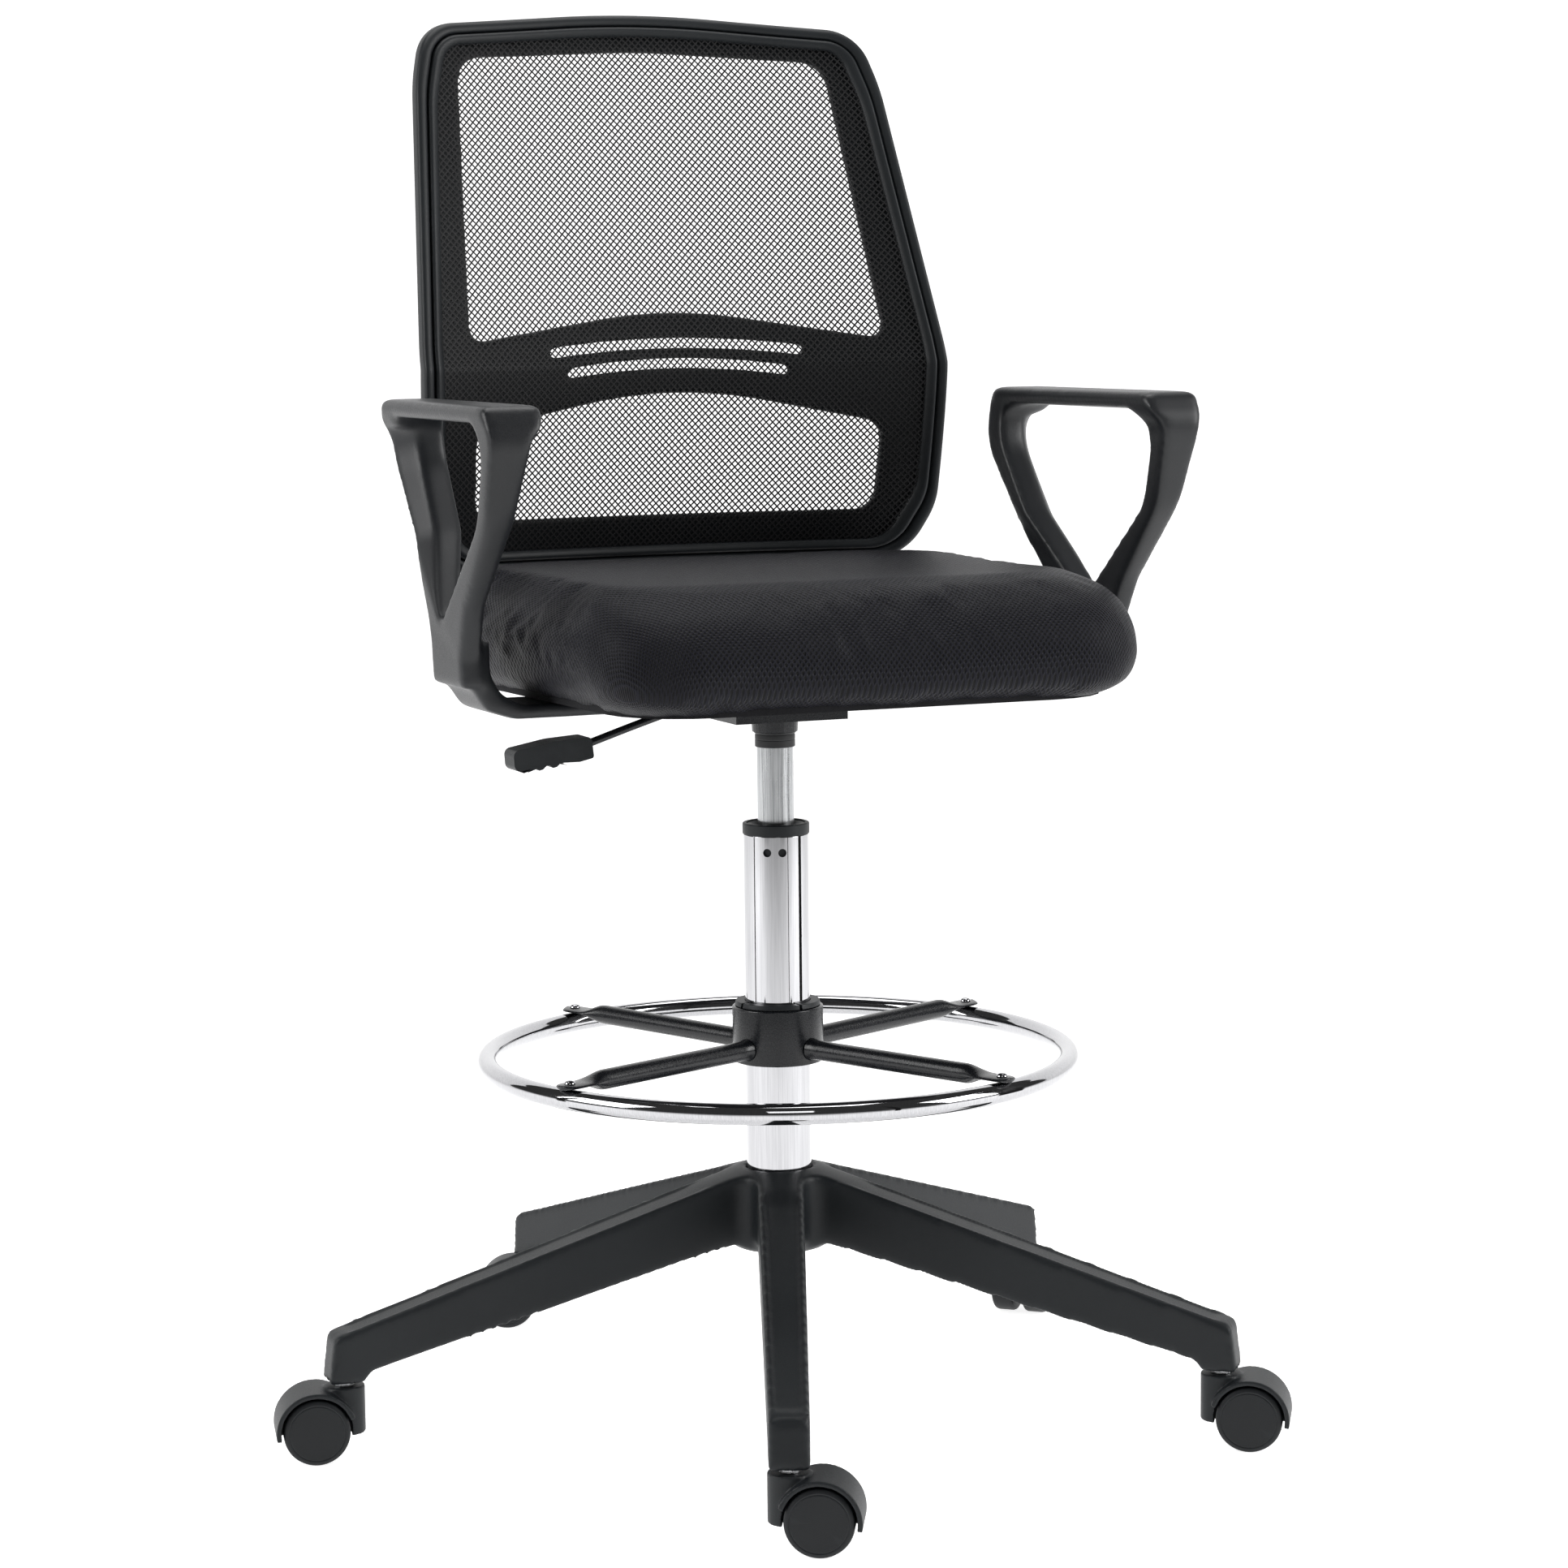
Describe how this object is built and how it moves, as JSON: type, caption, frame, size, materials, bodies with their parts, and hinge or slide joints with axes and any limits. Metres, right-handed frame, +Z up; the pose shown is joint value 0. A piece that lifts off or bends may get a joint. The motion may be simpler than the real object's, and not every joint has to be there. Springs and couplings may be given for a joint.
{
  "type": "drafting chair",
  "caption": "Tall swivel drafting chair with mesh back, padded seat, loop armrests, gas lift, sliding footring and star base on twin-wheel casters.",
  "frame": {"origin": "middle of the chair's box at floor level, on the plane that the wheels stand on", "axes": "+Z up, -Y the way the sitter faces, +X to the sitter's left"},
  "size_m": [0.7501, 0.7493, 1.0905],
  "materials": {
    "nylon": "moulded black nylon with a fine grain",
    "armrest_plastic": "moulded black plastic with a fine grain, polished on the front corner",
    "wheel_nylon": "black nylon caster wheels",
    "chrome": "bright chrome plate",
    "steel": "ground and zinc-plated steel",
    "black_steel": "black powder coat",
    "seat_fabric": "black air-mesh spacer fabric",
    "mesh_fabric": "black open diamond mesh",
    "plywood": "bent plywood board",
    "rubber": "black rubber boot"
  },
  "bodies": {
    "base": {"base_star": "nylon", "column_tube": "chrome", "column_collar": "nylon", "column_guide_bush": "nylon"},
    "lift_rod": {"piston_rod": "steel", "thrust_bearing": "steel", "rod_clip": "steel"},
    "seat": {"gas_cylinder": "steel", "gas_lift_boot": "rubber", "mechanism_plate": "black_steel", "seat_board": "plywood", "seat_cushion": "seat_fabric", "armrest_left": "armrest_plastic", "armrest_right": "armrest_plastic", "back_bracket": "black_steel", "back_shell": "nylon", "back_ring": "nylon", "back_mesh": "mesh_fabric"},
    "release_pin": {"release_pin": "steel"},
    "lever": {"lever_rod": "black_steel", "lever_handle": "nylon"},
    "footring_collet": {"footring_collet": "nylon"},
    "footring": {"footring_hub": "black_steel", "footring_tube": "chrome", "footring_arm_1": "black_steel", "footring_arm_2": "black_steel", "footring_arm_3": "black_steel", "footring_arm_4": "black_steel", "footring_rivet_1": "chrome", "footring_rivet_2": "chrome", "footring_rivet_3": "chrome", "footring_rivet_4": "chrome"},
    "caster_1": {"caster_1_stem": "steel", "caster_1_hood": "nylon", "caster_1_axle": "steel"},
    "caster_1_wheel_a": {"caster_1_wheel_a": "wheel_nylon"},
    "caster_1_wheel_b": {"caster_1_wheel_b": "wheel_nylon"},
    "caster_2": {"caster_2_stem": "steel", "caster_2_hood": "nylon", "caster_2_axle": "steel"},
    "caster_2_wheel_a": {"caster_2_wheel_a": "wheel_nylon"},
    "caster_2_wheel_b": {"caster_2_wheel_b": "wheel_nylon"},
    "caster_3": {"caster_3_stem": "steel", "caster_3_hood": "nylon", "caster_3_axle": "steel"},
    "caster_3_wheel_a": {"caster_3_wheel_a": "wheel_nylon"},
    "caster_3_wheel_b": {"caster_3_wheel_b": "wheel_nylon"},
    "caster_4": {"caster_4_stem": "steel", "caster_4_hood": "nylon", "caster_4_axle": "steel"},
    "caster_4_wheel_a": {"caster_4_wheel_a": "wheel_nylon"},
    "caster_4_wheel_b": {"caster_4_wheel_b": "wheel_nylon"},
    "caster_5": {"caster_5_stem": "steel", "caster_5_hood": "nylon", "caster_5_axle": "steel"},
    "caster_5_wheel_a": {"caster_5_wheel_a": "wheel_nylon"},
    "caster_5_wheel_b": {"caster_5_wheel_b": "wheel_nylon"}
  },
  "joints": [
    {"name": "column_swivel", "type": "hinge", "parent": "base", "child": "lift_rod", "pos_m": [0.0272, -0.0086, 0.14], "axis": [0, 0, 1], "continuous": true},
    {"name": "seat_height", "type": "slide", "parent": "lift_rod", "child": "seat", "axis": [0, 0, 1], "range_m": [-0.045, 0.155]},
    {"name": "lever_lift", "type": "hinge", "parent": "seat", "child": "lever", "pos_m": [-0.0028, -0.0086, 0.559], "axis": [0, 1, 0], "range_deg": [0, 6], "stiffness_Nm_per_rad": 4, "springref_deg": -4.58},
    {"name": "release_pin_press", "type": "slide", "parent": "seat", "child": "release_pin", "axis": [0, 0, 1], "range_m": [-0.0035, 0]},
    {"name": "footring_height", "type": "slide", "parent": "base", "child": "footring_collet", "axis": [0, 0, 1], "range_m": [-0.07, 0.1]},
    {"name": "footring_lock", "type": "hinge", "parent": "footring_collet", "child": "footring", "pos_m": [0.0272, -0.0086, 0.282], "axis": [0, 0, 1], "range_deg": [-90, 0]},
    {"name": "caster_1_swivel", "type": "hinge", "parent": "base", "child": "caster_1", "pos_m": [-0.10447, -0.32965, 0.05], "axis": [0, 0, 1], "continuous": true},
    {"name": "caster_1_wheel_a_spin", "type": "hinge", "parent": "caster_1", "child": "caster_1_wheel_a", "pos_m": [-0.08505, -0.33998, 0.025], "axis": [0.4695, 0.8829, 0], "continuous": true},
    {"name": "caster_1_wheel_b_spin", "type": "hinge", "parent": "caster_1", "child": "caster_1_wheel_b", "pos_m": [-0.08505, -0.33998, 0.025], "axis": [0.4695, 0.8829, 0], "continuous": true},
    {"name": "caster_2_swivel", "type": "hinge", "parent": "base", "child": "caster_2", "pos_m": [0.29185, -0.23304, 0.05], "axis": [0, 0, 1], "continuous": true},
    {"name": "caster_2_wheel_a_spin", "type": "hinge", "parent": "caster_2", "child": "caster_2_wheel_a", "pos_m": [0.3103, -0.24502, 0.025], "axis": [0.5446, 0.8387, 0], "continuous": true},
    {"name": "caster_2_wheel_b_spin", "type": "hinge", "parent": "caster_2", "child": "caster_2_wheel_b", "pos_m": [0.3103, -0.24502, 0.025], "axis": [0.5446, 0.8387, 0], "continuous": true},
    {"name": "caster_3_swivel", "type": "hinge", "parent": "base", "child": "caster_3", "pos_m": [0.32243, 0.17374, 0.05], "axis": [0, 0, 1], "continuous": true},
    {"name": "caster_3_wheel_a_spin", "type": "hinge", "parent": "caster_3", "child": "caster_3_wheel_a", "pos_m": [0.33743, 0.18983, 0.025], "axis": [-0.7314, 0.682, 0], "continuous": true},
    {"name": "caster_3_wheel_b_spin", "type": "hinge", "parent": "caster_3", "child": "caster_3_wheel_b", "pos_m": [0.33743, 0.18983, 0.025], "axis": [-0.7314, 0.682, 0], "continuous": true},
    {"name": "caster_4_swivel", "type": "hinge", "parent": "base", "child": "caster_4", "pos_m": [-0.05498, 0.32853, 0.05], "axis": [0, 0, 1], "continuous": true},
    {"name": "caster_4_wheel_a_spin", "type": "hinge", "parent": "caster_4", "child": "caster_4_wheel_a", "pos_m": [-0.07404, 0.33953, 0.025], "axis": [-0.5, -0.866, 0], "continuous": true},
    {"name": "caster_4_wheel_b_spin", "type": "hinge", "parent": "caster_4", "child": "caster_4_wheel_b", "pos_m": [-0.07404, 0.33953, 0.025], "axis": [-0.5, -0.866, 0], "continuous": true},
    {"name": "caster_5_swivel", "type": "hinge", "parent": "base", "child": "caster_5", "pos_m": [-0.31882, 0.01742, 0.05], "axis": [0, 0, 1], "continuous": true},
    {"name": "caster_5_wheel_a_spin", "type": "hinge", "parent": "caster_5", "child": "caster_5_wheel_a", "pos_m": [-0.34026, 0.02237, 0.025], "axis": [-0.225, -0.9744, 0], "continuous": true},
    {"name": "caster_5_wheel_b_spin", "type": "hinge", "parent": "caster_5", "child": "caster_5_wheel_b", "pos_m": [-0.34026, 0.02237, 0.025], "axis": [-0.225, -0.9744, 0], "continuous": true}
  ],
  "couplings": [
    {"joint": "release_pin_press", "follows": "lever_lift", "m_per_rad": -0.03}
  ]
}
